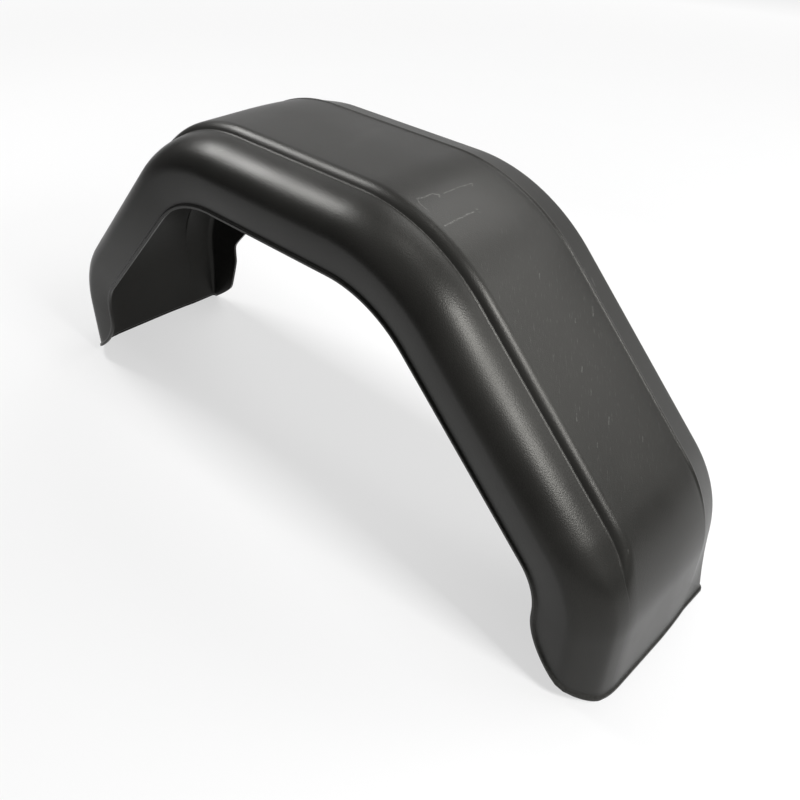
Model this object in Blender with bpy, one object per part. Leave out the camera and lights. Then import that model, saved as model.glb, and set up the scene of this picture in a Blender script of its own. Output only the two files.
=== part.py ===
"""Trailer mudguard: one thin moulded shell, lofted along an arch of straight runs and bends.

The arch has a vertical flap at each end, two slopes and a flat top. Across it, from the outer side
to the inner side, run a skirt with a stepped rim, a rounded shoulder, a step up to the tread, a fine
rib, a sloping strip and the flange that is bolted to the trailer.
X runs along the mudguard, Y from the outer side to the inner side, and Z up.
Depths are measured from the tread's surface towards the wheel, heights from the flaps' lower edges.
"""
import math

import bmesh
import bpy
import numpy as np

# Arch, measured at the tread's surface
ARCH_LENGTH = 0.7852
ARCH_HEIGHT = 0.3605
TOP_LENGTH = 0.322            # between the corners that the upper bends round off
FLAP_HEIGHT = 0.1305          # up to the corner that the lower bend rounds off
UPPER_BEND_RADIUS = 0.1935
LOWER_BEND_RADIUS = 0.1305

# Section, from the shoulder's outer face to the flange's outer face
WIDTH = 0.1976
WALL = 0.003
SKIRT_DEPTH = 0.0702
SKIRT_DRAFT = 0.0047          # how far the skirt leans in at its free edge
SHOULDER_WIDTH = 0.0438
SHOULDER_DEPTH = 0.0349       # where the shoulder has turned into the skirt
STEP_HEIGHT = 0.0056
STEP_RADIUS = 0.012
TREAD_FLAT_END = 0.108        # distance from the outer face
RIB_DISTANCE = 0.161          # distance from the outer face
RIB_DROP = 0.0024             # the tread's fall from its flat part to the rib
RIB_HEIGHT = 0.0009
RIB_WIDTH = 0.006
STRIP_TILT = math.radians(16)
CORNER_RADIUS = 0.0105
CORNER_RADIUS_LOW = 0.005     # at the flap's lower edge
FLANGE_DEPTH = 0.068

# Stepped rim along the skirt's free edge and the flaps' lower edges
RIM_STEP = 0.0016
RIM_HEIGHT = 0.0027
RIM_RUN = 0.0026

# Rounded lower corners of the skirt and the flange
SKIRT_CORNER_HEIGHT = 0.070
SKIRT_CORNER_START = 0.002    # depth at which the corner leaves the flap's lower edge
SKIRT_CORNER_FULLNESS = 0.8
FLANGE_CORNER_DEPTH = 0.051
FLANGE_CORNER_HEIGHT = 0.031
FLANGE_CORNER_BLEND = 0.003
FLANGE_TAPER_HEIGHT = 0.077
FLANGE_BEND_BLEND = 0.15       # how softly its edge turns from the flap to the slope, in radians

# Heights between which the step and the rib run out, and below which the strip levels off
FADE_LOW = 0.110
FADE_HIGH = 0.157
STRIP_LEVEL_HEIGHT = 0.100

# Facets
BEND_FACETS = 8
SLOPE_FACETS = 3
SHOULDER_FACETS = 9
SKIRT_FACETS = 3
STEP_FACETS = 4
CORNER_FACETS = 4
FLAP_HEIGHTS = (0.0, 0.02, 0.14, 0.24, 0.34, 0.47, 0.63, 0.82, 1.0)   # shares of the corner's height

SHELL_COLOUR = (0.028, 0.027, 0.026, 1.0)
SHELL_ROUGHNESS = 0.42


def mix(low, high, share):
    return low + (high - low) * share


def ease(share):
    share = min(max(share, 0.0), 1.0)
    return share * share * (3 - 2 * share)


def soft_min(a, b, blend):
    return (a + b - math.hypot(a - b, blend)) / 2


def clear_scene():
    for thing in list(bpy.data.objects):
        bpy.data.objects.remove(thing)


# Arch

def slope_angle():
    return math.atan2(ARCH_HEIGHT - FLAP_HEIGHT, (ARCH_LENGTH - TOP_LENGTH) / 2)


def lower_bend_start():
    """Height at which the lower bend leaves the flap."""
    return FLAP_HEIGHT - LOWER_BEND_RADIUS * math.tan((math.pi / 2 - slope_angle()) / 2)


def bend(centre, radius, start_angle, end_angle):
    """Stations round one bend, both ends included: x, z and the outward direction."""
    stations = []
    for angle in np.linspace(start_angle, end_angle, BEND_FACETS + 1):
        out = (math.sin(angle), math.cos(angle))
        stations.append((centre[0] + radius * out[0], centre[1] + radius * out[1], out))
    return stations


def half_arch():
    """Stations from the middle of the top down to the lower edge of the flap at +X."""
    half_top = TOP_LENGTH / 2
    half_length = ARCH_LENGTH / 2
    angle = slope_angle()
    upper_cut = UPPER_BEND_RADIUS * math.tan(angle / 2)
    upper_centre = (half_top - upper_cut, ARCH_HEIGHT - UPPER_BEND_RADIUS)
    lower_centre = (half_length - LOWER_BEND_RADIUS, lower_bend_start())
    stations = [(0.0, ARCH_HEIGHT, (0.0, 1.0))]
    stations += bend(upper_centre, UPPER_BEND_RADIUS, 0.0, angle)
    lower = bend(lower_centre, LOWER_BEND_RADIUS, angle, math.pi / 2)
    slope_top = stations[-1]
    for share in np.linspace(0, 1, SLOPE_FACETS + 1)[1:-1]:
        x = mix(slope_top[0], lower[0][0], share)
        z = mix(slope_top[1], lower[0][1], share)
        stations.append((x, z, slope_top[2]))
    stations += lower
    flap_top = lower[-1][1]
    heights = [SKIRT_CORNER_HEIGHT * share for share in FLAP_HEIGHTS] + [RIM_HEIGHT, RIM_HEIGHT + RIM_RUN]
    for z in sorted(heights, reverse=True):
        if z < flap_top:
            stations.append((half_length, z, (1.0, 0.0)))
    return stations


def whole_arch():
    half = half_arch()
    other = [(-x, z, (-out[0], out[1])) for x, z, out in half[1:]]
    return other[::-1] + half


# Outlines of the free edges

def skirt_edge_depth(height):
    """Depth of the skirt's free edge, which rounds into the flap's lower edge."""
    share = min(height / SKIRT_CORNER_HEIGHT, 1.0)
    fullness = (1 - (1 - share) ** 2) ** SKIRT_CORNER_FULLNESS
    return mix(SKIRT_CORNER_START, SKIRT_DEPTH, fullness)


def skirt_edge_height(depth):
    """Height of the same edge over the flap's lower edge."""
    share = min(max((depth - SKIRT_CORNER_START) / (SKIRT_DEPTH - SKIRT_CORNER_START), 0.0), 1.0)
    return SKIRT_CORNER_HEIGHT * (1 - math.sqrt(1 - share ** (1 / SKIRT_CORNER_FULLNESS)))


def edge_distance(depth, height):
    """Distance of a point of the skirt, shoulder or flap from the free edge."""
    up = height - skirt_edge_height(depth)
    across = skirt_edge_depth(height) - depth
    if depth <= SKIRT_CORNER_START:
        return height
    if up <= 0 or across <= 0:
        return 0.0
    return up * across / math.hypot(up, across)


def flange_bend_cut(height):
    """How much shallower the flange is in the lower bend, where its edge runs on nearly straight."""
    whole = math.pi / 2 - slope_angle()
    turned = math.asin(min(max((height - lower_bend_start()) / LOWER_BEND_RADIUS, 0.0), math.sin(whole)))
    nearest = soft_min(turned, whole - turned, FLANGE_BEND_BLEND)
    return (LOWER_BEND_RADIUS - FLANGE_DEPTH) * (1 / math.cos(nearest) - 1)


def flange_edge_depth(height, least):
    """Depth of the flange's free edge: a cut corner, a taper and then the full depth."""
    full = FLANGE_DEPTH - flange_bend_cut(height)
    cut = least + height * (FLANGE_CORNER_DEPTH - least) / FLANGE_CORNER_HEIGHT
    taper_slope = (FLANGE_DEPTH - FLANGE_CORNER_DEPTH) / (FLANGE_TAPER_HEIGHT - FLANGE_CORNER_HEIGHT)
    taper = FLANGE_CORNER_DEPTH + taper_slope * (height - FLANGE_CORNER_HEIGHT)
    depth = soft_min(soft_min(cut, taper, FLANGE_CORNER_BLEND), full, FLANGE_CORNER_BLEND / 2)
    return max(depth, least)


# Section, as pairs of distance from the outer face and height over the tread

def outer_run(height, fade):
    """Skirt and shoulder from the free edge to the foot of the step."""
    top_level = -STEP_HEIGHT * fade
    angles = np.linspace(0, math.pi / 2, 8 * SHOULDER_FACETS + 1)
    curve = [(SHOULDER_WIDTH * (1 - math.sin(angle)),
              -SHOULDER_DEPTH + (SHOULDER_DEPTH + top_level) * math.cos(angle)) for angle in angles]
    curve.append((SKIRT_DRAFT, -SKIRT_DEPTH))
    across, level = np.array(curve).T
    length = np.concatenate(([0], np.cumsum(np.hypot(np.diff(across), np.diff(level)))))
    shoulder_length = length[-2]
    whole_rows = np.concatenate((np.linspace(0, shoulder_length, SHOULDER_FACETS + 1),
                                 np.linspace(shoulder_length, length[-1], SKIRT_FACETS + 1)[1:]))
    edge = skirt_edge_depth(height)
    slant = (skirt_edge_depth(height + WALL / 4) - edge) / (WALL / 4)
    widening = min(math.hypot(1, slant), 3.0)
    rows = []
    for setback in (0.0, RIM_HEIGHT, RIM_HEIGHT + RIM_RUN):
        depth = edge - min(setback * widening, edge * setback / (RIM_HEIGHT + RIM_RUN) / 2)
        rows.append(np.interp(depth, -level, length))
    inner_rows = whole_rows[:-1] * rows[-1] / whole_rows[-1]
    rows = np.concatenate((rows, inner_rows[::-1]))
    return [(np.interp(row, length, across), np.interp(row, length, level)) for row in rows]


def step_run(fade):
    """Step from the shoulder up to the tread, one rounding with a sharp foot."""
    reach = math.sqrt(STEP_HEIGHT * (2 * STEP_RADIUS - STEP_HEIGHT))
    points = []
    for share in np.linspace(0, 1, STEP_FACETS + 1)[1:]:
        to_tread = reach * (1 - share)
        fall = STEP_RADIUS - math.sqrt(STEP_RADIUS ** 2 - to_tread ** 2)
        points.append((SHOULDER_WIDTH + reach * share, -fall * fade))
    return points


def tread_run(fade):
    """Tread, flat and then falling a little to the rib, and the rib itself."""
    points = [(TREAD_FLAT_END, 0.0)]
    for across in (mix(TREAD_FLAT_END, RIB_DISTANCE, 0.5), RIB_DISTANCE - RIB_WIDTH):
        share = (across - TREAD_FLAT_END) / (RIB_DISTANCE - TREAD_FLAT_END)
        points.append((across, -RIB_DROP * share ** 2))
    points.append((RIB_DISTANCE, -RIB_DROP + RIB_HEIGHT * fade))
    return points


def inner_run(height, fade):
    """Strip, rounded inner corner and flange, ending at the flange's free edge."""
    rise = math.sin(math.pi / 2 * min(height / STRIP_LEVEL_HEIGHT, 1.0))
    tilt = STRIP_TILT * rise
    radius = mix(CORNER_RADIUS_LOW, CORNER_RADIUS, rise)
    strip_end = WIDTH - radius + radius * math.sin(tilt)
    rib_foot = RIB_DISTANCE + RIB_WIDTH / 2
    foot_level = -RIB_DROP - (rib_foot - RIB_DISTANCE) * math.tan(tilt)
    end_level = -RIB_DROP - (strip_end - RIB_DISTANCE) * math.tan(tilt)
    points = [(rib_foot, foot_level), (mix(rib_foot, strip_end, 0.5), mix(foot_level, end_level, 0.5))]
    centre_level = end_level - radius * math.cos(tilt)
    for angle in np.linspace(tilt, math.pi / 2, CORNER_FACETS + 1):
        points.append((WIDTH - radius * (1 - math.sin(angle)), centre_level + radius * math.cos(angle)))
    edge = flange_edge_depth(height, WALL / 2 - centre_level)
    points += [(WIDTH, mix(centre_level, -edge, 0.5)), (WIDTH, -edge)]
    return points


def rim_relief(point, height):
    """How far the rim's step pushes a point of the section outwards; it ends past the inner corner."""
    across, level = point
    if across > RIB_DISTANCE:
        distance = height
        share = 1 - ease((-level - CORNER_RADIUS_LOW) / CORNER_RADIUS)
    else:
        distance = edge_distance(-level, height)
        share = 1.0
    return RIM_STEP * share * (1 - ease((distance - RIM_HEIGHT) / RIM_RUN))


def section(height):
    """Outer and inner points of the wall at one station, in matching order."""
    fade = ease((height - FADE_LOW) / (FADE_HIGH - FADE_LOW))
    points = outer_run(height, fade) + step_run(fade) + tread_run(fade) + inner_run(height, fade)
    line = np.array(points)
    run = np.gradient(line, axis=0)
    run /= np.hypot(run[:, 0], run[:, 1])[:, None]
    outward = np.column_stack((-run[:, 1], run[:, 0]))
    relief = np.array([rim_relief(point, height) for point in points])[:, None]
    return line + outward * relief, line + outward * (relief - WALL)


# Shell

def shell_rings():
    """Closed rings of the wall's section, one for each station of the arch, as 3-D points."""
    rings = []
    for x, z, out in whole_arch():
        outer, inner = section(z)
        ring = []
        for across, level in list(outer) + list(inner[::-1]):
            ring.append((x + out[0] * level, across, z + out[1] * level))
        rings.append(ring)
    return np.array(rings)


def centred(rings):
    """Rings moved so that the origin is under the middle of the shell, on its lower edges."""
    low = rings.min(axis=(0, 1))
    high = rings.max(axis=(0, 1))
    return rings - np.array([(low[0] + high[0]) / 2, (low[1] + high[1]) / 2, low[2]])


def end_strip(ring):
    """Faces that close the wall's cut end between its outer and inner points."""
    half = len(ring) // 2
    return [(ring[i], ring[i + 1], ring[-2 - i], ring[-1 - i]) for i in range(half - 1)]


def mudguard_shell(material):
    rings = centred(shell_rings())
    mesh = bpy.data.meshes.new("mudguard_shell")
    builder = bmesh.new()
    rows = [[builder.verts.new(point) for point in ring] for ring in rings]
    count = len(rows[0])
    for ring, following in zip(rows, rows[1:]):
        for i in range(count):
            j = (i + 1) % count
            builder.faces.new((ring[i], following[i], following[j], ring[j]))
    for ring in (rows[0], rows[-1]):
        for corners in end_strip(ring):
            builder.faces.new(corners)
    bmesh.ops.recalc_face_normals(builder, faces=builder.faces)
    builder.to_mesh(mesh)
    builder.free()
    mesh.shade_smooth()
    mesh.set_sharp_from_angle(angle=math.radians(32))
    mesh.materials.append(material)
    shell = bpy.data.objects.new("mudguard_shell", mesh)
    bpy.context.collection.objects.link(shell)
    return shell


def black_plastic():
    material = bpy.data.materials.new("black_moulded_plastic")
    material.use_nodes = True
    shader = material.node_tree.nodes["Principled BSDF"]
    shader.inputs["Base Color"].default_value = SHELL_COLOUR
    shader.inputs["Roughness"].default_value = SHELL_ROUGHNESS
    shader.inputs["Metallic"].default_value = 0.0
    return material


def main():
    clear_scene()
    mudguard_shell(black_plastic())


main()
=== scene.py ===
"""Trailer mudguard: its finely moulded shell, worn black plastic and a plain studio.

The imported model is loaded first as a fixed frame, in metres. X runs along the mudguard, Y from its
outer side to the flange that is bolted to the trailer, and Z up. Across the shell run a skirt with a
stepped rim, a rounded shoulder, a step up to the tread, a fine rib, a sloping strip and the flange.
Depths are measured from the tread's surface towards the wheel, heights from the flaps' lower edges.
"""
import math

import bpy
import numpy as np
from mathutils import Euler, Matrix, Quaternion, Vector


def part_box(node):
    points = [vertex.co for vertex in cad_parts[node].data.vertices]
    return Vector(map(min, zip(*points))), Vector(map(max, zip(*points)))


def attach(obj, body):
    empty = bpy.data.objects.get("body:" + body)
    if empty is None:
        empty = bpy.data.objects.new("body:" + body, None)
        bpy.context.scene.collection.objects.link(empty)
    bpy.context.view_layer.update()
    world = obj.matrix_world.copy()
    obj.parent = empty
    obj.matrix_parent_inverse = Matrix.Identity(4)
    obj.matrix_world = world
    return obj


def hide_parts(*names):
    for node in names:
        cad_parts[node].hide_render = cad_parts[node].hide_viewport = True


bl_info = {
    "name": "Trailer mudguard",
    "version": (1, 0, 0),
    "blender": (4, 5, 0),
    "location": "3D View > Sidebar > Mudguard",
    "description": "Builds the mudguard's shell, its plastic and a plain studio round the packed model",
    "category": "Add Mesh",
}

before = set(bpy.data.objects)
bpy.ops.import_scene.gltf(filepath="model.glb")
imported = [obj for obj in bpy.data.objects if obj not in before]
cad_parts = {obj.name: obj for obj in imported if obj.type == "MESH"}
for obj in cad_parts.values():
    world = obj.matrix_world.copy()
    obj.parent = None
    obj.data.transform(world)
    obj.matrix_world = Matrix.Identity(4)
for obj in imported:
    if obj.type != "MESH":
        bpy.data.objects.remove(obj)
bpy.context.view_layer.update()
SHELL_LOW, SHELL_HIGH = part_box("mudguard_shell")

# Arch
RIM_STEP = 0.0016
ARCH_LENGTH = SHELL_HIGH[0] - SHELL_LOW[0] - 2 * RIM_STEP
ARCH_HEIGHT = SHELL_HIGH[2] - SHELL_LOW[2]
OUTER_FACE = -0.0987751       # where the skirt's outermost plane lies in Y

# Section
SKIRT_DRAFT = 0.0047
SKIRT_CURVE = 1.3
SHOULDER_DEPTH = 0.0349
SHOULDER_TOP_TILT = math.radians(3.3)
SHOULDER_TIGHTENING = 85 / 15    # radius at the shoulder's top over the radius where it meets the skirt
STEP_FILLET = 0.0008
BEAD_HEIGHT = 0.0003          # fine bead along the foot of the step
BEAD_HALF_WIDTH = 0.001
STEP_TILT = math.radians(54)
STEP_RADIUS = 0.0142
TREAD_FLAT_END = 0.108
RIB_DROP = 0.0024
RIB_HALF_WIDTH = 0.0024
RIB_DIP = 0.00015             # fine dip before the rib
RIB_DIP_OFFSET = 0.0035
RIB_REACH = (2.3, 1.2)        # half widths before and past the rib between which its rows lie
STRIP_TILT = math.radians(16)
CORNER_RADIUS = 0.0105
CORNER_RADIUS_LOW = 0.005

# Stepped rim along the skirt's free edge and the flaps' lower edges
RIM_HEIGHT = 0.0024
RIM_RUN = 0.0021
RIM_MOST_WIDENING = 3.0       # where the free edge lies slantwise across the section
SKIRT_RIM_STEP = 0.0022
SKIRT_RIM_LOW = 0.020         # depths between which the rim's step grows to the skirt's
SKIRT_RIM_HIGH = 0.050

# Rounded lower corners of the skirt and the flange
SKIRT_CORNER_HEIGHT = 0.070
SKIRT_CORNER_START = 0.002
SKIRT_CORNER_FULLNESS = 0.8
FLANGE_CORNER_DEPTH = 0.051
FLANGE_CORNER_HEIGHT = 0.031
FLANGE_CORNER_BLEND = 0.003
FLANGE_TAPER_HEIGHT = 0.077
FLANGE_BEND_BLEND = 0.15

# Heights between which the step and the rib run out, and below which the strip levels off
FADE_LOW = 0.110
FADE_HIGH = 0.157
STRIP_LEVEL_HEIGHT = 0.100
CREASE_SLIDE = 0.0065         # how far the step's foot moves outwards while it runs out
CREASE_SLIDE_LOW = 0.120
CREASE_SLIDE_HIGH = 0.154
SHOULDER_LIFT_START = 0.002
SHOULDER_LIFT_RUN = 0.022

# Rows of the section, points of the fine line that they are set out on, and steps of the arch
RIM_ROWS = (4, 7)
SHOULDER_ROWS = 48
BEAD_ROWS = 5
STEP_ROWS = (5, 3, 12)
TREAD_ROWS = 6
CROWN_ROWS = 8
RIB_ROWS = 18
STRIP_ROWS = 7
CORNER_ROWS = 12
FLANGE_ROWS = 8
SHOULDER_POINTS = 240
SKIRT_POINTS = 60
TOP_STEPS = 6
UPPER_BEND_STEPS = 22
SLOPE_STEPS = 12
LOWER_BEND_STEPS = 20
FLAP_STEPS = 16

# Shading, distances below which points are taken as one, and a guard
SMOOTH_ANGLE = math.radians(42)
MERGE_DISTANCE = 1e-6
MIRROR_MERGE_DISTANCE = 1e-5
LEAST_DIVISOR = 1e-9          # keeps a length that is divided by from being nothing

# Scratches: places along the arch and across it, half width and how clearly they show
SCRATCHES = (
    (((0.1268, 0.0607), (0.1283, 0.068), (0.1278, 0.0767), (0.1316, 0.0814), (0.1344, 0.0794)), 0.0011, 0.6),
    (((0.1268, 0.0607), (0.1322, 0.0579), (0.1427, 0.0577)), 0.0009, 0.4),
    (((0.1324, 0.0866), (0.1324, 0.1044), (0.1343, 0.1199), (0.1368, 0.1175)), 0.0009, 0.5),
    (((0.1612, 0.0576), (0.1608, 0.0716), (0.1604, 0.0841), (0.1605, 0.0934)), 0.0010, 0.6),
    (((0.1592, 0.0978), (0.1596, 0.0986)), 0.0011, 0.6),
    (((0.1628, 0.0978), (0.1634, 0.0982)), 0.0011, 0.5),
    (((0.2453, 0.1672), (0.2486, 0.1615)), 0.0007, 0.4),
    (((0.2558, 0.1693), (0.2631, 0.1673)), 0.0009, 0.55),
    (((0.2669, 0.165), (0.2706, 0.161)), 0.0007, 0.4),
    (((0.2764, 0.148), (0.2833, 0.1433)), 0.0009, 0.5),
    (((0.2769, 0.1218), (0.28, 0.1191)), 0.0007, 0.35),
    (((0.3123, 0.1006), (0.316, 0.0974)), 0.0007, 0.4),
    (((0.231, 0.1104), (0.2349, 0.1073)), 0.0007, 0.35),
    (((0.3313, 0.0971), (0.3352, 0.0937)), 0.0007, 0.4),
    (((0.3404, 0.0696), (0.3452, 0.0656)), 0.0007, 0.35),
    (((0.358, 0.0994), (0.3628, 0.0952)), 0.0007, 0.4),
    (((0.3686, 0.0737), (0.3715, 0.0712)), 0.0007, 0.35),
    (((0.3883, 0.1229), (0.3912, 0.1201)), 0.0007, 0.35),
    (((0.4511, 0.0495), (0.4533, 0.0485)), 0.0007, 0.4),
    (((0.2214, 0.0205), (0.2262, 0.0208)), 0.0035, 0.35),
    (((0.0162, 0.0919), (0.0029, 0.136)), 0.0100, 0.06),
    (((-0.0791, 0.018), (-0.0731, 0.0203)), 0.0007, 0.3),
)

# Rim's step, bead and rib in the lighter scuff colour: partly rubbed plastic, partly a painted highlight
# along these edges
RIM_RUB_AND_HIGHLIGHT = 0.10                # how clearly the rim and bead are lightened: rubbed plastic and painted highlight
BEAD_RUB_AND_HIGHLIGHT = 0.12
RIB_RUB_AND_HIGHLIGHT_SHARE = 0.35          # how clearly the rib is lightened beside the bead: rubbed plastic and painted highlight
SCRATCH_WANDER = 0.0016       # how far scratches wander from a straight line
WANDER_NOISE = (260.0, 2.0)   # scale and detail, here and below

# Faint streaks on the right slope's tread: their turn and size, and where they lie along and across
STREAK_TURN = math.radians(-35)
STREAK_SIZE = (0.010, 0.0011, 1.0)
STREAK_NOISE = (1.0, 1.0)
STREAK_RANGE = (0.62, 0.80)   # of the noise, from no streak to a full one
STREAK_SHOWS = 0.22
STREAK_ALONG = (0.150, 0.230, 0.400, 0.450)
STREAK_ACROSS = (0.050, 0.065, 0.150, 0.175)

# Plastic: broad mottle in shade and gloss, fine grain, patches that break up the marks, and its gloss
MOTTLE_NOISE = (14.0, 5.0)
MOTTLE_RANGE = (0.3, 0.7)
MOTTLE_SHADE = (0.86, 1.14)
MOTTLE_ROUGHNESS = (-0.03, 0.04)
GRAIN_NOISE = (900.0, 2.0)
GRAIN_STRENGTH = 0.35
GRAIN_HEIGHT = 0.0003
PATCH_NOISE = (420.0, 3.0)
PATCH_RANGE = (0.36, 0.62)
PATCH_SHOWS = (0.2, 1.1)
MARK_ROUGHNESS = 0.2          # how much rougher the plastic is where it is marked
SPECULAR_LEVEL = 0.24
SPECULAR_TINT = (1.0, 0.985, 0.93, 1.0)

# Soft lights: name, degrees round from +X, degrees up, width, height and radiance
LIGHT_DISTANCE = 1.8
LIGHT_AIM = (0.05, 0.0, 0.2)
LIGHTS = (
    ("key_light", 184, 45, 0.5, 0.66, 19.0),
    ("slope_light", 357, 40, 0.38, 0.75, 38.0),
    ("right_light", 40, 30, 0.9, 0.9, 2.8),
    ("right_back_light", 62, 43, 0.9, 0.9, 2.2),
    ("back_light", 97, 54, 0.9, 0.9, 4.2),
    ("left_back_light", 139, 33, 0.9, 0.9, 0.62),
    ("top_light", 0, 86, 0.4, 0.4, 6.0),
)

# Floor and the backdrop at its far sides
FLOOR_SIZE = 8.0
FLOOR_MIDDLE = (-1.0, 1.0, 0.0)
BACKDROP_HEIGHT = 3.0
BACKDROP_RADIUS = 1.0
BACKDROP_SEGMENTS = 12

# Floor's own white: distances from the mudguard, and the strength at each
FLOOR_WHITE_DISTANCES = (0.8, 2.5, 4.0)
FLOOR_WHITE_STRENGTHS = (0.60, 0.9, 0.5)
# Painted shade: before the outer side the floor's white is cut down, so the skirt reflects a darker floor
FLOOR_PAINTED_SHADE_TOWARDS = (-0.434, -0.901, 0.0)    # towards the floor before the outer side, left of the view
FLOOR_PAINTED_SHADE_FADE = (0.38, 0.70)        # distances that way over which the white falls
FLOOR_PAINTED_SHADE_WHITE = 0.1                # share of it that is left there
WORLD_STRENGTH = 0.03

# View
CAMERA_PLACE = (0.5550, -0.5110, 0.6350)
CAMERA_AIM = (0.0215, 0.0610, 0.0477)
CAMERA_ROLL = math.radians(1.61)
CAMERA_LENS = 38.63
CAMERA_SENSOR = 36.0
CAMERA_CLIP_START = 0.01


class MudguardSizes(bpy.types.PropertyGroup):
    arch_length: bpy.props.FloatProperty(
        name="Arch length", description="Between the two flaps' outer faces",
        default=ARCH_LENGTH, unit="LENGTH")
    arch_height: bpy.props.FloatProperty(
        name="Arch height", description="From the flaps' lower edges to the flat top",
        default=ARCH_HEIGHT, unit="LENGTH")
    top_length: bpy.props.FloatProperty(
        name="Top length", description="Between the corners that the upper bends round off",
        default=0.322, unit="LENGTH")
    flap_height: bpy.props.FloatProperty(
        name="Flap height", description="Up to the corner that the lower bend rounds off",
        default=0.1305, unit="LENGTH")
    upper_bend_radius: bpy.props.FloatProperty(
        name="Upper bend radius", description="At the tread's surface", default=0.1935, unit="LENGTH")
    lower_bend_radius: bpy.props.FloatProperty(
        name="Lower bend radius", description="At the tread's surface", default=0.1305, unit="LENGTH")
    width: bpy.props.FloatProperty(
        name="Width", description="From the skirt's outer face to the flange's outer face",
        default=0.1976, unit="LENGTH")
    wall: bpy.props.FloatProperty(
        name="Wall", description="Thickness of the plastic", default=0.003, unit="LENGTH")
    skirt_depth: bpy.props.FloatProperty(
        name="Skirt depth", description="From the tread down to the skirt's free edge",
        default=0.0702, unit="LENGTH")
    shoulder_width: bpy.props.FloatProperty(
        name="Shoulder width", description="From the outer face to the foot of the step",
        default=0.0422, unit="LENGTH")
    step_height: bpy.props.FloatProperty(
        name="Step height", description="From the shoulder's top up to the tread",
        default=0.0064, unit="LENGTH")
    rib_distance: bpy.props.FloatProperty(
        name="Rib distance", description="From the outer face to the rib", default=0.161, unit="LENGTH")
    rib_height: bpy.props.FloatProperty(
        name="Rib height", description="How far the rib stands over the tread",
        default=0.0008, unit="LENGTH")
    flange_depth: bpy.props.FloatProperty(
        name="Flange depth", description="From the tread down to the flange's free edge",
        default=0.068, unit="LENGTH")


class MudguardLooks(bpy.types.PropertyGroup):
    plastic_colour: bpy.props.FloatVectorProperty(
        name="Plastic", description="Colour of the moulded plastic", subtype="COLOR", size=4,
        default=(0.0172, 0.0168, 0.0155, 1.0), min=0.0, max=1.0)
    # Scuff colour: real scuffs and scratches, and also the painted highlight along the rim's step, bead and
    # rib
    scuff_and_highlight_colour: bpy.props.FloatVectorProperty(
        name="Scuffs", description="Colour of the plastic where it is scuffed", subtype="COLOR", size=4,
        default=(0.17, 0.168, 0.16, 1.0), min=0.0, max=1.0)
    floor_colour: bpy.props.FloatVectorProperty(
        name="Floor", description="Colour of the floor and its backdrop", subtype="COLOR", size=4,
        default=(0.28, 0.28, 0.28, 1.0), min=0.0, max=1.0)
    roughness: bpy.props.FloatProperty(
        name="Roughness", description="Roughness of the moulded plastic", default=0.34, subtype="FACTOR")


# Small tools

def sizes_of():
    return bpy.context.scene.mudguard_sizes


def looks_of():
    return bpy.context.scene.mudguard_looks


def mix(low, high, share):
    return low + (high - low) * share


def ease(share):
    share = np.clip(share, 0.0, 1.0)
    return share * share * (3 - 2 * share)


def soft_min(a, b, blend):
    """The lower of two values, with the crease where they cross rounded off."""
    return (a + b - math.hypot(a - b, blend)) / 2


def deselect_all():
    if bpy.context.mode != "OBJECT":
        bpy.ops.object.mode_set(mode="OBJECT")
    bpy.ops.object.select_all(action="DESELECT")


def apply_modifier(piece, kind, **values):
    modifier = piece.modifiers.new(kind.title(), kind)
    for name, value in values.items():
        setattr(modifier, name, value)
    bpy.ops.object.modifier_apply(modifier=modifier.name)


def read_points(mesh):
    points = np.empty(len(mesh.vertices) * 3)
    mesh.vertices.foreach_get("co", points)
    return points.reshape(-1, 3)


def write_points(mesh, points):
    mesh.vertices.foreach_set("co", np.ascontiguousarray(points).ravel())
    mesh.update()


def write_vectors(mesh, name, vectors):
    attribute = mesh.attributes.get(name) or mesh.attributes.new(name, "FLOAT_VECTOR", "POINT")
    attribute.data.foreach_set("vector", np.ascontiguousarray(vectors).ravel())


def read_vectors(mesh, name):
    vectors = np.empty(len(mesh.vertices) * 3)
    mesh.attributes[name].data.foreach_get("vector", vectors)
    return vectors.reshape(-1, 3)


# Arch

def slope_angle(sizes):
    return math.atan2(sizes.arch_height - sizes.flap_height, (sizes.arch_length - sizes.top_length) / 2)


def lower_bend_start(sizes):
    """Height at which the lower bend leaves the flap."""
    turn = math.pi / 2 - slope_angle(sizes)
    return sizes.flap_height - sizes.lower_bend_radius * math.tan(turn / 2)


# Free edges of the shell

def skirt_edge_depth(sizes, height):
    """Depth of the skirt's free edge, which rounds into the flap's lower edge."""
    share = min(height / SKIRT_CORNER_HEIGHT, 1.0)
    fullness = (1 - (1 - share) ** 2) ** SKIRT_CORNER_FULLNESS
    return mix(SKIRT_CORNER_START, sizes.skirt_depth, fullness)


def skirt_edge_height(sizes, depth):
    """Height of the same edge over the flap's lower edge."""
    share = np.clip((depth - SKIRT_CORNER_START) / (sizes.skirt_depth - SKIRT_CORNER_START), 0.0, 1.0)
    return SKIRT_CORNER_HEIGHT * (1 - np.sqrt(1 - share ** (1 / SKIRT_CORNER_FULLNESS)))


def edge_distance(sizes, depth, height):
    """Distance of points of the skirt, shoulder or flap from the free edge."""
    up = np.maximum(height - skirt_edge_height(sizes, depth), 0.0)
    across = np.maximum(skirt_edge_depth(sizes, height) - depth, 0.0)
    distance = up * across / np.maximum(np.hypot(up, across), LEAST_DIVISOR)
    return np.where(depth <= SKIRT_CORNER_START, height, distance)


def flange_bend_cut(sizes, height):
    """How much shallower the flange is in the lower bend, where its edge runs on nearly straight."""
    whole = math.pi / 2 - slope_angle(sizes)
    risen = (height - lower_bend_start(sizes)) / sizes.lower_bend_radius
    turned = math.asin(min(max(risen, 0.0), math.sin(whole)))
    nearest = soft_min(turned, whole - turned, FLANGE_BEND_BLEND)
    return (sizes.lower_bend_radius - sizes.flange_depth) * (1 / math.cos(nearest) - 1)


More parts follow.
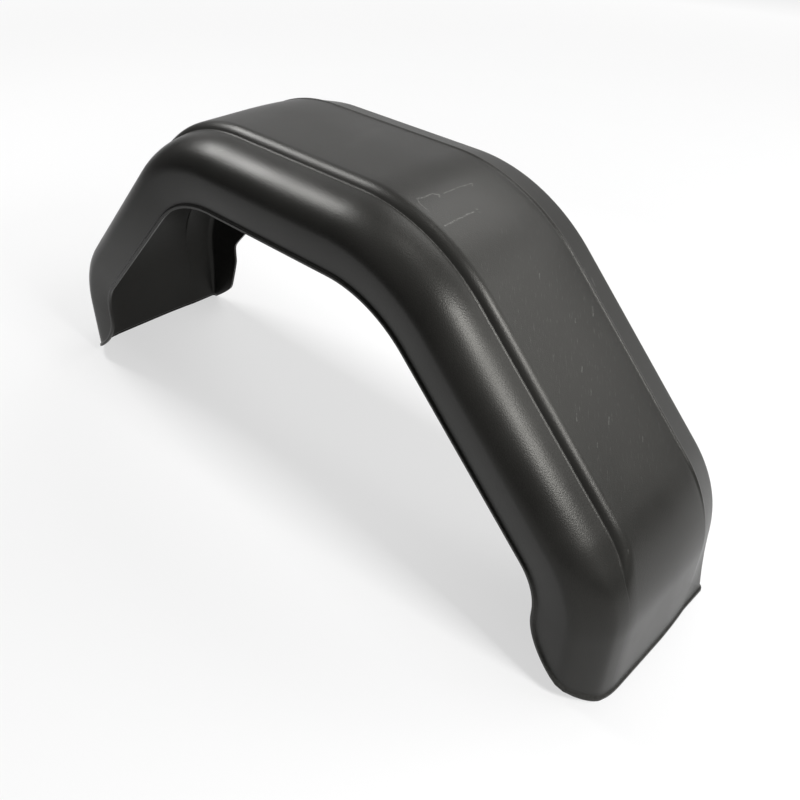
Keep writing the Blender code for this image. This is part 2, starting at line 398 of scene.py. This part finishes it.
def flange_edge_depth(sizes, height, least):
    """Depth of the flange's free edge: a cut corner, a taper and then the full depth."""
    full = sizes.flange_depth - flange_bend_cut(sizes, height)
    cut = least + height * (FLANGE_CORNER_DEPTH - least) / FLANGE_CORNER_HEIGHT
    taper_slope = (sizes.flange_depth - FLANGE_CORNER_DEPTH) / (FLANGE_TAPER_HEIGHT - FLANGE_CORNER_HEIGHT)
    taper = FLANGE_CORNER_DEPTH + taper_slope * (height - FLANGE_CORNER_HEIGHT)
    depth = soft_min(soft_min(cut, taper, FLANGE_CORNER_BLEND), full, FLANGE_CORNER_BLEND / 2)
    return max(depth, least)


# Section, as distances from the outer face and levels over the tread

def run_out(height):
    """How much of the step and the rib is left at one height: all of it above, none in the flaps."""
    return ease((height - FADE_LOW) / (FADE_HIGH - FADE_LOW))


def sums_from_zero(steps):
    return np.concatenate(([0], np.cumsum(steps)))


def outer_curve(sizes, fade):
    """Shoulder and skirt as one fine line, from the foot of the step to the skirt's free edge."""
    tilt = np.linspace(SHOULDER_TOP_TILT, math.pi / 2, SHOULDER_POINTS)
    radius = SHOULDER_TIGHTENING ** (-tilt / (math.pi / 2))
    run = sums_from_zero((radius * np.cos(tilt))[1:])
    fall = sums_from_zero((radius * np.sin(tilt))[1:])
    across = sizes.shoulder_width * (1 - run / run[-1])
    level = -sizes.step_height - (SHOULDER_DEPTH - sizes.step_height) * fall / fall[-1]
    level = level + (1 - fade) * sizes.step_height * ease((across - SHOULDER_LIFT_START) / SHOULDER_LIFT_RUN)
    share = np.linspace(0, 1, SKIRT_POINTS)[1:]
    across = np.concatenate((across, SKIRT_DRAFT * share ** SKIRT_CURVE))
    level = np.concatenate((level, mix(-SHOULDER_DEPTH, -sizes.skirt_depth, share)))
    return across, level


def rim_setbacks():
    """Distances of the rim's rows from the free edge: over its lip, its step and a last one past it."""
    lip = np.linspace(0, RIM_HEIGHT, RIM_ROWS[0] + 1)
    step = RIM_HEIGHT + RIM_RUN * np.linspace(0, 1, RIM_ROWS[1] + 1)[1:]
    return np.concatenate((lip, step, [RIM_HEIGHT + 2 * RIM_RUN]))


def outer_rows(sizes, height, fade):
    """Skirt and shoulder, from the free edge to the foot of the step."""
    across, level = outer_curve(sizes, fade)
    length = sums_from_zero(np.hypot(np.diff(across), np.diff(level)))
    edge = skirt_edge_depth(sizes, height)
    apart = sizes.wall / 4
    slant = (skirt_edge_depth(sizes, height + apart) - edge) / apart
    widening = min(math.hypot(1, slant), RIM_MOST_WIDENING)
    setbacks = rim_setbacks()
    depths = edge - np.minimum(setbacks * widening, edge * setbacks / setbacks[-1] / 2)
    rim = np.interp(depths, -level, length)
    slide = CREASE_SLIDE * (1 - ease((height - CREASE_SLIDE_LOW) / (CREASE_SLIDE_HIGH - CREASE_SLIDE_LOW)))
    bead = slide + BEAD_HALF_WIDTH * np.linspace(1, 0, BEAD_ROWS + 1)
    rest = mix(bead[0], rim[-1], np.linspace(1, 0, SHOULDER_ROWS + 1)[1:-1])
    rows = np.concatenate((rim, rest, bead))
    return np.interp(rows, length, across), np.interp(rows, length, level)


def foot_row():
    """Number of the section's row at the foot of the step, the last of the bead's."""
    return len(rim_setbacks()) + SHOULDER_ROWS - 1 + BEAD_ROWS


def step_rows(sizes, foot, foot_level):
    """Step from its foot up to the tread: a fine fillet, a face and a broad rounding."""
    fillet, face, rounding = STEP_ROWS
    tilt = np.linspace(SHOULDER_TOP_TILT, STEP_TILT, fillet + 1)[1:]
    across = STEP_FILLET * (np.sin(tilt) - math.sin(SHOULDER_TOP_TILT))
    level = STEP_FILLET * (math.cos(SHOULDER_TOP_TILT) - np.cos(tilt))
    rise = sizes.step_height - level[-1] - STEP_RADIUS * (1 - math.cos(STEP_TILT))
    share = np.linspace(0, 1, face + 1)[1:]
    face_across = across[-1] + rise * share / math.tan(STEP_TILT)
    face_level = level[-1] + rise * share
    tilt = np.linspace(STEP_TILT, 0, rounding + 1)[1:]
    round_across = face_across[-1] + STEP_RADIUS * (math.sin(STEP_TILT) - np.sin(tilt))
    round_level = sizes.step_height - STEP_RADIUS * (1 - np.cos(tilt))
    across = np.concatenate((across, face_across, round_across))
    level = np.concatenate((level, face_level, round_level)) - sizes.step_height
    return foot + across, -level / sizes.step_height * foot_level


def bump(share):
    """A smooth swelling, 1 in its middle and 0 from -1 and 1 outwards."""
    return np.where(np.abs(share) < 1, (1 - share ** 2) ** 2, 0.0)


def tread_rows(sizes, start, tilt, fade):
    """Tread, flat and then falling a little, and the rib with the fine dip before it."""
    rib_start = sizes.rib_distance - RIB_REACH[0] * RIB_HALF_WIDTH
    rib_end = sizes.rib_distance + RIB_REACH[1] * RIB_HALF_WIDTH
    flat = np.linspace(start, TREAD_FLAT_END, TREAD_ROWS + 1)[1:]
    crown = np.linspace(TREAD_FLAT_END, rib_start, CROWN_ROWS + 1)[1:]
    rib = np.linspace(rib_start, rib_end, RIB_ROWS + 1)[1:]
    across = np.concatenate((flat, crown, rib))
    share = np.clip((across - TREAD_FLAT_END) / (sizes.rib_distance - TREAD_FLAT_END), 0, 1)
    past_rib = np.maximum(across - sizes.rib_distance, 0)
    level = -RIB_DROP * share ** 2 - past_rib * math.tan(tilt)
    from_rib = (across - sizes.rib_distance) / RIB_HALF_WIDTH
    from_dip = (across - sizes.rib_distance + RIB_DIP_OFFSET) / RIB_HALF_WIDTH
    return across, level + fade * (sizes.rib_height * bump(from_rib) - RIB_DIP * bump(from_dip))


def inner_rows(sizes, height, start, start_level, tilt, radius):
    """Strip, rounded inner corner and flange, ending at the flange's free edge."""
    strip_end = sizes.width - radius + radius * math.sin(tilt)
    end_level = -RIB_DROP - (strip_end - sizes.rib_distance) * math.tan(tilt)
    share = np.linspace(0, 1, STRIP_ROWS + 1)[1:]
    strip = mix(start, strip_end, share), mix(start_level, end_level, share)
    centre_level = end_level - radius * math.cos(tilt)
    angle = np.linspace(tilt, math.pi / 2, CORNER_ROWS + 1)[1:]
    corner = sizes.width - radius * (1 - np.sin(angle)), centre_level + radius * np.cos(angle)
    edge = flange_edge_depth(sizes, height, sizes.wall / 2 - centre_level)
    share = np.linspace(0, 1, FLANGE_ROWS + 1)[1:]
    flange = np.full(FLANGE_ROWS, sizes.width), mix(centre_level, -edge, share)
    return np.concatenate((strip[0], corner[0], flange[0])), np.concatenate((strip[1], corner[1], flange[1]))


def section(sizes, height):
    """The outer surface's line at one height of the arch, as pairs of across and level."""
    fade = float(run_out(height))
    rise = math.sin(math.pi / 2 * min(height / STRIP_LEVEL_HEIGHT, 1.0))
    tilt = STRIP_TILT * rise
    radius = mix(CORNER_RADIUS_LOW, CORNER_RADIUS, rise)
    outer = outer_rows(sizes, height, fade)
    step = step_rows(sizes, outer[0][-1], outer[1][-1])
    tread = tread_rows(sizes, step[0][-1], tilt, fade)
    inner = inner_rows(sizes, height, tread[0][-1], tread[1][-1], tilt, radius)
    line = np.column_stack([np.concatenate(rows) for rows in zip(outer, step, tread, inner)])
    line[:, 1] += fade * BEAD_HEIGHT * bump((line[:, 0] - outer[0][-1]) / BEAD_HALF_WIDTH)
    return line


def section_outward(line):
    """Outward directions across the line, each one long."""
    run = np.gradient(line, axis=0)
    run /= np.hypot(run[:, 0], run[:, 1])[:, None]
    return np.column_stack((-run[:, 1], run[:, 0]))


def rim_relief(sizes, line, height):
    """How far the rim's step pushes each point of the section outwards; it ends past the inner corner."""
    across, level = line.T
    inner = across > sizes.rib_distance
    distance = np.where(inner, height, edge_distance(sizes, -level, height))
    share = np.where(inner, 1 - ease((-level - CORNER_RADIUS_LOW) / CORNER_RADIUS), 1.0)
    skirt = np.where(inner, 0.0, ease((-level - SKIRT_RIM_LOW) / (SKIRT_RIM_HIGH - SKIRT_RIM_LOW)))
    step = mix(RIM_STEP, SKIRT_RIM_STEP, skirt)
    return step * share * (1 - ease((distance - RIM_HEIGHT) / RIM_RUN))


def edge_wear_and_highlight(sizes, line, height):
    """Rubbed plastic and painted highlight on the rim's step, the bead and the rib, and a mark for the outer
    side.
    """
    across, level = line.T
    fade = run_out(height)
    bead = fade * bump((across - across[foot_row()]) / BEAD_HALF_WIDTH)
    rib = RIB_RUB_AND_HIGHLIGHT_SHARE * fade * bump((across - sizes.rib_distance) / RIB_HALF_WIDTH)
    distance = edge_distance(sizes, -level, height)
    rim = bump((distance - RIM_HEIGHT - RIM_RUN / 2) / RIM_RUN) * (across < sizes.rib_distance)
    return np.column_stack((rim, np.maximum(bead, rib), np.ones(len(line))))


# Shell

def trace(points):
    """Draws a line of edges through the points, from one vertex, and leaves it selected."""
    bpy.ops.mesh.primitive_plane_add(size=sizes_of().wall, location=points[0])
    piece = bpy.context.active_object
    bpy.ops.object.mode_set(mode="EDIT")
    bpy.ops.mesh.merge(type="CENTER")
    for here, following in zip(points, points[1:]):
        extrude_by(Vector(following) - Vector(here))
    bpy.ops.mesh.select_all(action="SELECT")
    return piece


def extrude_by(step, times=1):
    for _ in range(times):
        bpy.ops.mesh.extrude_region_move(TRANSFORM_OT_translate={"value": tuple(step)})


def spin_down(centre, angle, steps):
    """Carries the selected section round a bend."""
    bpy.ops.mesh.spin(steps=steps, angle=angle, center=centre, axis=(0, -1, 0))


def sweep_half_arch(sizes):
    """Carries the selected section from the middle of the top down to the flap's lower edge at +X."""
    angle = slope_angle(sizes)
    upper_cut = sizes.upper_bend_radius * math.tan(angle / 2)
    upper_centre = Vector((sizes.top_length / 2 - upper_cut, 0, sizes.arch_height - sizes.upper_bend_radius))
    lower_centre = Vector((sizes.arch_length / 2 - sizes.lower_bend_radius, 0, lower_bend_start(sizes)))
    out = Vector((math.sin(angle), 0, math.cos(angle)))
    slope = lower_centre + out * sizes.lower_bend_radius - upper_centre - out * sizes.upper_bend_radius
    extrude_by(Vector((upper_centre.x / TOP_STEPS, 0, 0)), TOP_STEPS)
    spin_down(upper_centre, angle, UPPER_BEND_STEPS)
    extrude_by(slope / SLOPE_STEPS, SLOPE_STEPS)
    spin_down(lower_centre, math.pi / 2 - angle, LOWER_BEND_STEPS)
    low_heights = rim_setbacks()[::-1]
    heights = np.concatenate((np.linspace(lower_centre.z, low_heights[0], FLAP_STEPS + 1), low_heights[1:]))
    for here, following in zip(heights, heights[1:]):
        extrude_by(Vector((0, 0, following - here)))


def settle_sections(sizes, mesh, drawn):
    """Gives each station of the sweep its own section: the trimmed edges, and the step that runs out."""
    points = read_points(mesh)
    count = len(drawn)
    # For each point of a station, the row of the drawn line that it comes from
    apart = points[:count, None, 1:] - drawn[None, :, 1:]
    rows = np.abs(apart).sum(axis=2).argmin(axis=1)
    stations = points.reshape(-1, count, 3)
    crest = int(np.argmax(drawn[rows][:, 2]))
    deepest = int(np.argmin(drawn[rows][:, 2]))
    depth = drawn[rows[crest], 2] - drawn[rows[deepest], 2]
    push = np.zeros_like(stations)
    along = 0.0
    surface = np.zeros_like(stations)
    wear_and_highlight = np.zeros_like(stations)
    last = stations[0, crest].copy()
    for number, station in enumerate(stations):
        top = station[crest].copy()
        out = (top - station[deepest]) / depth
        height = max(top[2], 0.0)
        along += math.dist(top, last)
        last = top
        line = section(sizes, height)
        outward = section_outward(line) * rim_relief(sizes, line, height)[:, None]
        for result, pairs in ((station, line[rows]), (push[number], outward[rows])):
            result[:, 0] = pairs[:, 1] * out[0]
            result[:, 1] = pairs[:, 0]
            result[:, 2] = pairs[:, 1] * out[2]
        station += (top[0], OUTER_FACE, top[2])
        surface[number, :, 0] = along
        surface[number, :, 1] = line[rows][:, 0]
        surface[number, :, 2] = line[rows][:, 1]
        # Rim, bead and rib: rubbed plastic and painted highlight, for the material
        wear_and_highlight[number] = edge_wear_and_highlight(sizes, line, height)[rows]
    write_points(mesh, stations)
    write_vectors(mesh, "rim_push", push)
    write_vectors(mesh, "surface", surface)
    write_vectors(mesh, "wear_and_highlight", wear_and_highlight)


def mirror_pushes(mesh):
    """Turns round the mirrored half's directions and its distances along the arch."""
    left = read_points(mesh)[:, 0] < -MERGE_DISTANCE
    for name in ("rim_push", "surface"):
        vectors = read_vectors(mesh, name)
        vectors[left, 0] *= -1
        write_vectors(mesh, name, vectors)


def clear_inner_wear_and_highlight(mesh):
    """The inner side's points, which the wall's thickness adds after the outer ones, get no wear and no
    painted highlight.
    """
    wear_and_highlight = read_vectors(mesh, "wear_and_highlight")
    wear_and_highlight[len(wear_and_highlight) // 2:] = 0.0
    write_vectors(mesh, "wear_and_highlight", wear_and_highlight)


def face_outwards(mesh):
    """Turns all faces the same way, and so that the top of the tread looks up."""
    bpy.ops.object.mode_set(mode="EDIT")
    bpy.ops.mesh.select_all(action="SELECT")
    bpy.ops.mesh.remove_doubles(threshold=MERGE_DISTANCE)
    bpy.ops.mesh.normals_make_consistent(inside=False)
    bpy.ops.object.mode_set(mode="OBJECT")
    highest = max(mesh.polygons, key=lambda face: face.center.z)
    if highest.normal.z < 0:
        bpy.ops.object.mode_set(mode="EDIT")
        bpy.ops.mesh.select_all(action="SELECT")
        bpy.ops.mesh.flip_normals()
        bpy.ops.object.mode_set(mode="OBJECT")


def mudguard_shell(sizes):
    """Sweeps the section along half the arch, mirrors it, adds the wall and pushes out the rim's step."""
    line = section(sizes, sizes.arch_height)
    drawn = np.column_stack((np.zeros(len(line)), line[:, 0] + OUTER_FACE, line[:, 1] + sizes.arch_height))
    shell = trace([tuple(point) for point in drawn])
    sweep_half_arch(sizes)
    bpy.ops.object.mode_set(mode="OBJECT")
    bpy.ops.object.transform_apply(location=True, rotation=True, scale=True)
    settle_sections(sizes, shell.data, drawn)
    apply_modifier(shell, "MIRROR", merge_threshold=MIRROR_MERGE_DISTANCE)
    mirror_pushes(shell.data)
    face_outwards(shell.data)
    apply_modifier(shell, "SOLIDIFY", thickness=sizes.wall, offset=-1.0, use_even_offset=True)
    clear_inner_wear_and_highlight(shell.data)
    points = read_points(shell.data) + read_vectors(shell.data, "rim_push")
    points[:, 2] = np.maximum(points[:, 2], 0.0)
    write_points(shell.data, points)
    shell.data.attributes.remove(shell.data.attributes["rim_push"])
    bpy.ops.object.shade_smooth_by_angle(angle=SMOOTH_ANGLE)
    shell.name = "fine_shell"
    return shell


# Materials

def add_node(tree, kind, values=None, **settings):
    node = tree.nodes.new(kind)
    for name, value in settings.items():
        setattr(node, name, value)
    for socket, value in (values or {}).items():
        if isinstance(value, bpy.types.NodeSocket):
            tree.links.new(value, node.inputs[socket])
        else:
            node.inputs[socket].default_value = value
    return node


def new_material(name):
    material = bpy.data.materials.new(name)
    material.use_nodes = True
    return material, material.node_tree


def map_range(tree, value, low, high, to_low=0.0, to_high=1.0):
    values = {"Value": value, "From Min": low, "From Max": high, "To Min": to_low, "To Max": to_high}
    return add_node(tree, "ShaderNodeMapRange", values).outputs["Result"]


def math_node(tree, operation, first, second):
    return add_node(tree, "ShaderNodeMath", {0: first, 1: second}, operation=operation).outputs[0]


def vector_math(tree, operation, first, second=None, output="Vector"):
    """The second value is the factor where a vector is scaled, and left out for a length."""
    values = {0: first}
    if second is not None:
        values["Scale" if operation == "SCALE" else 1] = second
    return add_node(tree, "ShaderNodeVectorMath", values, operation=operation).outputs[output]


def noise(tree, place, scale, detail, output="Fac"):
    values = {"Vector": place, "Scale": scale, "Detail": detail}
    return add_node(tree, "ShaderNodeTexNoise", values).outputs[output]


def window(tree, value, rise_start, rise_end, fall_start, fall_end):
    """1 between the middle two values and 0 beyond the outer two."""
    rise = map_range(tree, value, rise_start, rise_end)
    fall = map_range(tree, value, fall_start, fall_end, 1.0, 0.0)
    return math_node(tree, "MULTIPLY", rise, fall)


def scratch(tree, place, start, end, width, shows):
    """One straight stretch of a scratch, strongest along its middle."""
    run = Vector((*end, 0.0)) - Vector((*start, 0.0))
    from_start = vector_math(tree, "SUBTRACT", place, (*start, 0.0))
    share = vector_math(tree, "DOT_PRODUCT", from_start, run / run.length_squared, "Value")
    share = add_node(tree, "ShaderNodeClamp", {"Value": share}).outputs["Result"]
    nearest = vector_math(tree, "SCALE", run, share)
    away = vector_math(tree, "DISTANCE", from_start, nearest, "Value")
    return map_range(tree, away, 0.0, width, shows, 0.0)


def wandering(tree, place):
    """The place on the surface, moved a little to and fro along it."""
    shift = noise(tree, place, *WANDER_NOISE, "Color")
    shift = vector_math(tree, "SUBTRACT", shift, (0.5, 0.5, 0.5))
    shift = vector_math(tree, "MULTIPLY", shift, (1.0, 1.0, 0.0))
    return vector_math(tree, "ADD", place, vector_math(tree, "SCALE", shift, SCRATCH_WANDER))


def scratches(tree, place):
    mask = 0.0
    for points, width, shows in SCRATCHES:
        for start, end in zip(points, points[1:]):
            mask = math_node(tree, "MAXIMUM", mask, scratch(tree, place, start, end, width, shows))
    return mask


def streaks(tree, place):
    """Many fine short streaks side by side."""
    turned = add_node(tree, "ShaderNodeMapping", {
        "Vector": place, "Rotation": (0.0, 0.0, STREAK_TURN), "Scale": STREAK_SIZE}, vector_type="TEXTURE")
    streak = noise(tree, turned.outputs["Vector"], *STREAK_NOISE)
    mask = map_range(tree, streak, *STREAK_RANGE, 0.0, STREAK_SHOWS)
    apart = add_node(tree, "ShaderNodeSeparateXYZ", {"Vector": place}).outputs
    mask = math_node(tree, "MULTIPLY", mask, window(tree, apart["X"], *STREAK_ALONG))
    return math_node(tree, "MULTIPLY", mask, window(tree, apart["Y"], *STREAK_ACROSS))


def wear_marks_and_highlights(tree, solid_place):
    """How much the plastic is marked: scratches and streaks outside, and rubs and painted highlight at rim,
    bead and rib.
    """
    surface = add_node(tree, "ShaderNodeAttribute", attribute_name="surface").outputs["Vector"]
    place = vector_math(tree, "MULTIPLY", surface, (1.0, 1.0, 0.0))
    wear_and_highlight = add_node(tree, "ShaderNodeAttribute", attribute_name="wear_and_highlight").outputs["Vector"]
    wear_and_highlight = add_node(tree, "ShaderNodeSeparateXYZ", {"Vector": wear_and_highlight}).outputs
    marks_and_highlights = math_node(tree, "MAXIMUM", scratches(tree, wandering(tree, place)), streaks(tree, place))
    marks_and_highlights = math_node(tree, "MULTIPLY", marks_and_highlights, wear_and_highlight["Z"])
    # Rim, bead and rib: rubbed plastic and painted highlight
    rim = math_node(tree, "MULTIPLY", wear_and_highlight["X"], RIM_RUB_AND_HIGHLIGHT)
    bead = math_node(tree, "MULTIPLY", wear_and_highlight["Y"], BEAD_RUB_AND_HIGHLIGHT)
    marks_and_highlights = math_node(tree, "MAXIMUM", marks_and_highlights, math_node(tree, "MAXIMUM", rim, bead))
    broken = map_range(tree, noise(tree, solid_place, *PATCH_NOISE), *PATCH_RANGE, *PATCH_SHOWS)
    return math_node(tree, "MULTIPLY", marks_and_highlights, broken)


def black_plastic(looks):
    """Moulded black plastic, mottled a little, grained, scratched on the tread, rubbed at its edges, with
    painted highlight there.
    """
    material, tree = new_material("worn_black_plastic")
    shader = tree.nodes["Principled BSDF"]
    solid_place = add_node(tree, "ShaderNodeTexCoord").outputs["Object"]
    marks_and_highlights = wear_marks_and_highlights(tree, solid_place)
    mottle = noise(tree, solid_place, *MOTTLE_NOISE)
    grain = noise(tree, solid_place, *GRAIN_NOISE)

    shade = map_range(tree, mottle, *MOTTLE_RANGE, *MOTTLE_SHADE)
    plain = vector_math(tree, "MULTIPLY", looks.plastic_colour[:3], shade)
    # The scuff colour marks real scratches and streaks, and paints a highlight along the rim, bead and rib
    colour = add_node(tree, "ShaderNodeMix", {
        "Factor": marks_and_highlights, 6: plain, 7: looks.scuff_and_highlight_colour}, data_type="RGBA")
    tree.links.new(colour.outputs[2], shader.inputs["Base Color"])

    smoother, rougher = MOTTLE_ROUGHNESS
    gloss = map_range(tree, mottle, *MOTTLE_RANGE, looks.roughness + smoother, looks.roughness + rougher)
    gloss = math_node(tree, "ADD", gloss, math_node(tree, "MULTIPLY", marks_and_highlights, MARK_ROUGHNESS))
    tree.links.new(gloss, shader.inputs["Roughness"])
    raised = add_node(tree, "ShaderNodeBump", {
        "Height": grain, "Strength": GRAIN_STRENGTH, "Distance": GRAIN_HEIGHT})
    tree.links.new(raised.outputs["Normal"], shader.inputs["Normal"])
    shader.inputs["Specular IOR Level"].default_value = SPECULAR_LEVEL
    shader.inputs["Specular Tint"].default_value = SPECULAR_TINT
    return material


def floor_white(tree):
    """The floor's own white: it changes with the distance, and falls off left of the view as painted shade
    in the skirt's reflection.
    """
    place = add_node(tree, "ShaderNodeTexCoord").outputs["Object"]
    away = vector_math(tree, "LENGTH", place, output="Value")
    near, middle, far = FLOOR_WHITE_DISTANCES
    near_white, middle_white, far_white = FLOOR_WHITE_STRENGTHS
    white = map_range(tree, away, near, middle, near_white, middle_white)
    white = math_node(tree, "ADD", white, map_range(tree, away, middle, far, 0.0, far_white - middle_white))
    front = vector_math(tree, "DOT_PRODUCT", place, FLOOR_PAINTED_SHADE_TOWARDS, "Value")
    front = map_range(tree, front, *FLOOR_PAINTED_SHADE_FADE, 1.0, FLOOR_PAINTED_SHADE_WHITE)
    return math_node(tree, "MULTIPLY", white, front)


def floor_material(looks):
    """Pale floor that also shows its white to the camera, gloss and glass, and keeps the shadow."""
    material, tree = new_material("pale_floor")
    tree.nodes.remove(tree.nodes["Principled BSDF"])
    rays = add_node(tree, "ShaderNodeLightPath").outputs
    seen = math_node(tree, "MAXIMUM", rays["Is Camera Ray"], rays["Is Glossy Ray"])
    seen = math_node(tree, "MAXIMUM", seen, rays["Is Transmission Ray"])
    strength = math_node(tree, "MULTIPLY", seen, floor_white(tree))
    matt = add_node(tree, "ShaderNodeBsdfDiffuse", {"Color": looks.floor_colour})
    glow = add_node(tree, "ShaderNodeEmission", {"Strength": strength})
    both = add_node(tree, "ShaderNodeAddShader", {0: matt.outputs[0], 1: glow.outputs[0]})
    tree.links.new(both.outputs[0], tree.nodes["Material Output"].inputs["Surface"])
    return material


# Stage

def studio_floor(looks):
    """A wide floor whose far sides rise as one rounded backdrop."""
    bpy.ops.mesh.primitive_plane_add(size=FLOOR_SIZE, location=FLOOR_MIDDLE)
    floor = bpy.context.active_object
    floor.name = "studio_floor"
    bpy.ops.object.mode_set(mode="EDIT")
    bpy.ops.mesh.select_all(action="DESELECT")
    bpy.ops.object.mode_set(mode="OBJECT")
    far_side = FLOOR_SIZE / 4
    for edge in floor.data.edges:
        middle = sum((floor.data.vertices[i].co for i in edge.vertices), Vector()) / 2
        edge.select = middle.x < -far_side or middle.y > far_side
    bpy.ops.object.mode_set(mode="EDIT")
    bpy.ops.mesh.select_mode(type="EDGE")
    extrude_by((0, 0, BACKDROP_HEIGHT))
    bpy.ops.object.mode_set(mode="OBJECT")
    bpy.ops.object.transform_apply(location=True, rotation=True, scale=True)
    apply_modifier(floor, "BEVEL", width=BACKDROP_RADIUS, segments=BACKDROP_SEGMENTS, limit_method="ANGLE")
    bpy.ops.object.shade_smooth()
    floor.data.materials.append(floor_material(looks))
    return floor


def soft_light(name, round_from_x, up, width, height, radiance):
    """A soft rectangular source that looks at the mudguard from the given direction."""
    towards = Vector((1, 0, 0))
    towards.rotate(Euler((0, -math.radians(up), math.radians(round_from_x))))
    turn = (-towards).to_track_quat("-Z", "Y").to_euler()
    place = Vector(LIGHT_AIM) + towards * LIGHT_DISTANCE
    bpy.ops.object.light_add(type="AREA", location=place, rotation=turn)
    light = bpy.context.active_object
    light.name = name
    light.data.shape = "RECTANGLE"
    light.data.size = width
    light.data.size_y = height
    light.data.energy = radiance * math.pi * width * height


def studio_world():
    world = bpy.data.worlds.new("studio_world")
    world.use_nodes = True
    background = world.node_tree.nodes["Background"]
    background.inputs["Color"].default_value = (1.0, 1.0, 1.0, 1.0)
    background.inputs["Strength"].default_value = WORLD_STRENGTH
    bpy.context.scene.world = world


def studio_camera():
    towards = Vector(CAMERA_AIM) - Vector(CAMERA_PLACE)
    turn = towards.to_track_quat("-Z", "Y") @ Quaternion((0, 0, 1), CAMERA_ROLL)
    bpy.ops.object.camera_add(location=CAMERA_PLACE, rotation=turn.to_euler())
    camera = bpy.context.active_object
    camera.name = "studio_camera"
    camera.data.lens = CAMERA_LENS
    camera.data.sensor_width = CAMERA_SENSOR
    camera.data.clip_start = CAMERA_CLIP_START
    bpy.context.scene.camera = camera


class MUDGUARD_OT_shell(bpy.types.Operator):
    """Model the mudguard's shell and give it its plastic"""
    bl_idname = "mudguard.shell"
    bl_label = "Shell"

    def execute(self, context):
        deselect_all()
        shell = mudguard_shell(sizes_of())
        shell.data.materials.append(black_plastic(looks_of()))
        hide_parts("mudguard_shell")
        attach(shell, "root")
        return {"FINISHED"}


class MUDGUARD_OT_stage(bpy.types.Operator):
    """Set up the floor, the soft lights and the camera"""
    bl_idname = "mudguard.stage"
    bl_label = "Stage"

    def execute(self, context):
        deselect_all()
        studio_floor(looks_of())
        for light in LIGHTS:
            soft_light(*light)
        studio_world()
        studio_camera()
        context.scene.view_settings.view_transform = "Standard"
        return {"FINISHED"}


class MUDGUARD_PT_panel(bpy.types.Panel):
    """The mudguard's operators, sizes and colours"""
    bl_idname = "MUDGUARD_PT_panel"
    bl_label = "Trailer mudguard"
    bl_space_type = "VIEW_3D"
    bl_region_type = "UI"
    bl_category = "Mudguard"

    def draw(self, context):
        layout = self.layout
        for operator in OPERATORS:
            layout.operator(operator.bl_idname)
        for group in (context.scene.mudguard_sizes, context.scene.mudguard_looks):
            for name in group.__annotations__:
                layout.prop(group, name)


OPERATORS = (MUDGUARD_OT_shell, MUDGUARD_OT_stage)
CLASSES = (MudguardSizes, MudguardLooks) + OPERATORS + (MUDGUARD_PT_panel,)


def register():
    for kind in CLASSES:
        bpy.utils.register_class(kind)
    bpy.types.Scene.mudguard_sizes = bpy.props.PointerProperty(type=MudguardSizes)
    bpy.types.Scene.mudguard_looks = bpy.props.PointerProperty(type=MudguardLooks)


def unregister():
    del bpy.types.Scene.mudguard_looks
    del bpy.types.Scene.mudguard_sizes
    for kind in reversed(CLASSES):
        bpy.utils.unregister_class(kind)


def main():
    register()
    bpy.ops.mudguard.shell()
    bpy.ops.mudguard.stage()


if __name__ == "__main__":
    main()
